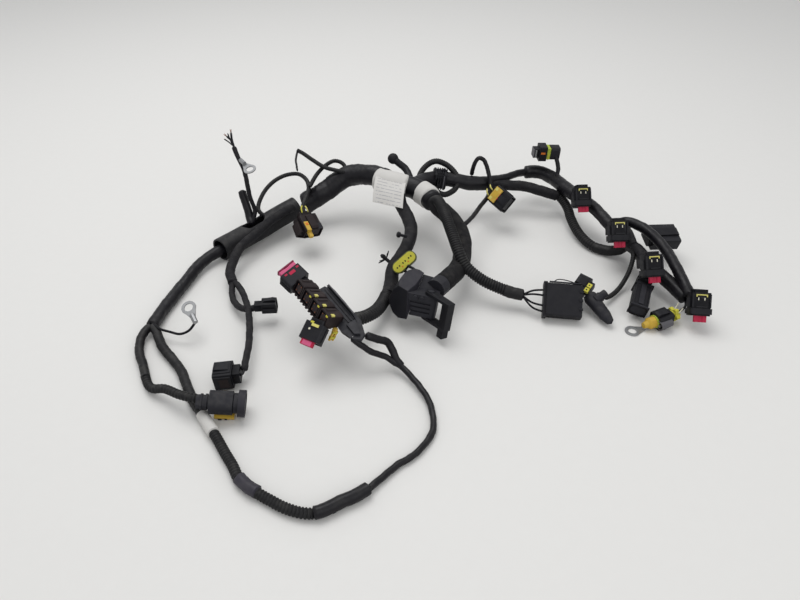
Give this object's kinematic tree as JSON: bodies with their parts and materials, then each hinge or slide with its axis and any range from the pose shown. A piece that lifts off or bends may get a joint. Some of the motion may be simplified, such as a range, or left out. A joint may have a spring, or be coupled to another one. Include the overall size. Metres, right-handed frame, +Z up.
{
  "type": "engine wiring harness",
  "caption": "Vehicle engine wiring harness lying on a table: taped trunks, corrugated conduits, coil and sensor connectors, a lever connector, ring terminals and labels.",
  "frame": {"origin": "on the table under the middle of the harness's outline, seen from above", "axes": "+X to the right along the harness's length, from the loop to the coil rail, +Y away from the viewer, +Z up"},
  "size_m": [0.5449, 0.4717, 0.1068],
  "materials": {
    "tape": "black adhesive tape, satin",
    "conduit": "black corrugated conduit, satin",
    "textile": "black textile sleeve, matt",
    "paper": "white label film, matt, unprinted",
    "tin": "tinned",
    "plastic": "black moulded plastic",
    "grey_plastic": "dark grey moulded plastic",
    "rubber": "soft black rubber",
    "yellow": "yellow seal rubber",
    "amber": "amber moulded plastic",
    "red": "red moulded plastic",
    "pink": "pink-red moulded plastic"
  },
  "bodies": {
    "harness": {"main_trunk": "tape", "left_bundle": "tape", "right_trunk": "tape", "cluster_branch": "tape", "rail_upper": "tape", "rail_lower": "tape", "fork_branch": "tape", "loop_bundle": "tape", "sensor_branch": "tape", "spare_branch": "tape", "smooth_conduit": "conduit", "relay_branch": "conduit", "loop_conduit": "conduit", "boot_branch": "conduit", "thin_loop": "conduit", "lever_sleeve": "textile", "trunk_label": "paper", "trunk_band": "paper", "loop_label": "paper", "ring_terminal_left": "tin", "ring_terminal_upper": "tin", "ring_terminal_right": "tin", "coil_connector_1": "plastic", "coil_connector_2": "plastic", "coil_connector_3": "plastic", "coil_connector_4": "plastic", "cluster_plug_1": "plastic", "cluster_plug_2": "plastic", "cluster_plug_3": "plastic", "cluster_plug_4": "plastic", "cluster_end_connector": "plastic", "cluster_side_connector": "plastic", "lever_connector_body": "plastic", "relay_connector": "plastic", "fork_connector": "plastic", "slim_connector": "plastic", "sensor_connector_small": "plastic", "sensor_connector_square": "plastic", "hanging_connector": "plastic", "top_sensor_connector": "plastic", "yellow_face_connector": "plastic", "flat_box_connector": "plastic", "trunk_clamp": "plastic", "cluster_tray": "grey_plastic", "lever_connector_hood": "grey_plastic", "boot_connector": "grey_plastic", "ground_clip": "grey_plastic", "elbow_boot": "rubber", "rubber_boot": "rubber", "seal_connector": "yellow", "ground_seal": "yellow", "boot_connector_lock": "amber", "ground_sleeve": "amber"},
    "coil_lock_1_body": {"coil_lock_1": "red"},
    "coil_lock_2_body": {"coil_lock_2": "red"},
    "coil_lock_3_body": {"coil_lock_3": "red"},
    "coil_lock_4_body": {"coil_lock_4": "red"},
    "cluster_end_lock_body": {"cluster_end_lock": "pink"},
    "cluster_side_lock_body": {"cluster_side_lock": "red"},
    "lever_connector_lever_body": {"lever_connector_lever": "plastic"}
  },
  "joints": [
    {"name": "coil_lock_1_slide", "type": "slide", "parent": "harness", "child": "coil_lock_1_body", "axis": [-0.043, 0.6142, 0.788], "range_m": [0, 0.0035]},
    {"name": "coil_lock_2_slide", "type": "slide", "parent": "harness", "child": "coil_lock_2_body", "axis": [-0.0322, 0.6148, 0.788], "range_m": [0, 0.0035]},
    {"name": "coil_lock_3_slide", "type": "slide", "parent": "harness", "child": "coil_lock_3_body", "axis": [-0.0644, 0.6123, 0.788], "range_m": [0, 0.0035]},
    {"name": "coil_lock_4_slide", "type": "slide", "parent": "harness", "child": "coil_lock_4_body", "axis": [0.0644, 0.6123, 0.788], "range_m": [0, 0.0035]},
    {"name": "cluster_end_lock_slide", "type": "slide", "parent": "harness", "child": "cluster_end_lock_body", "axis": [0.721, -0.5507, -0.4206], "range_m": [0, 0.003]},
    {"name": "cluster_side_lock_slide", "type": "slide", "parent": "harness", "child": "cluster_side_lock_body", "axis": [0.4016, 0.7229, 0.5622], "range_m": [0, 0.003]},
    {"name": "lever_swing", "type": "hinge", "parent": "harness", "child": "lever_connector_lever_body", "pos_m": [-0.00186, -0.02078, 0.0252], "axis": [-0.1443, -0.217, -0.9655], "range_deg": [0, 70]}
  ]
}
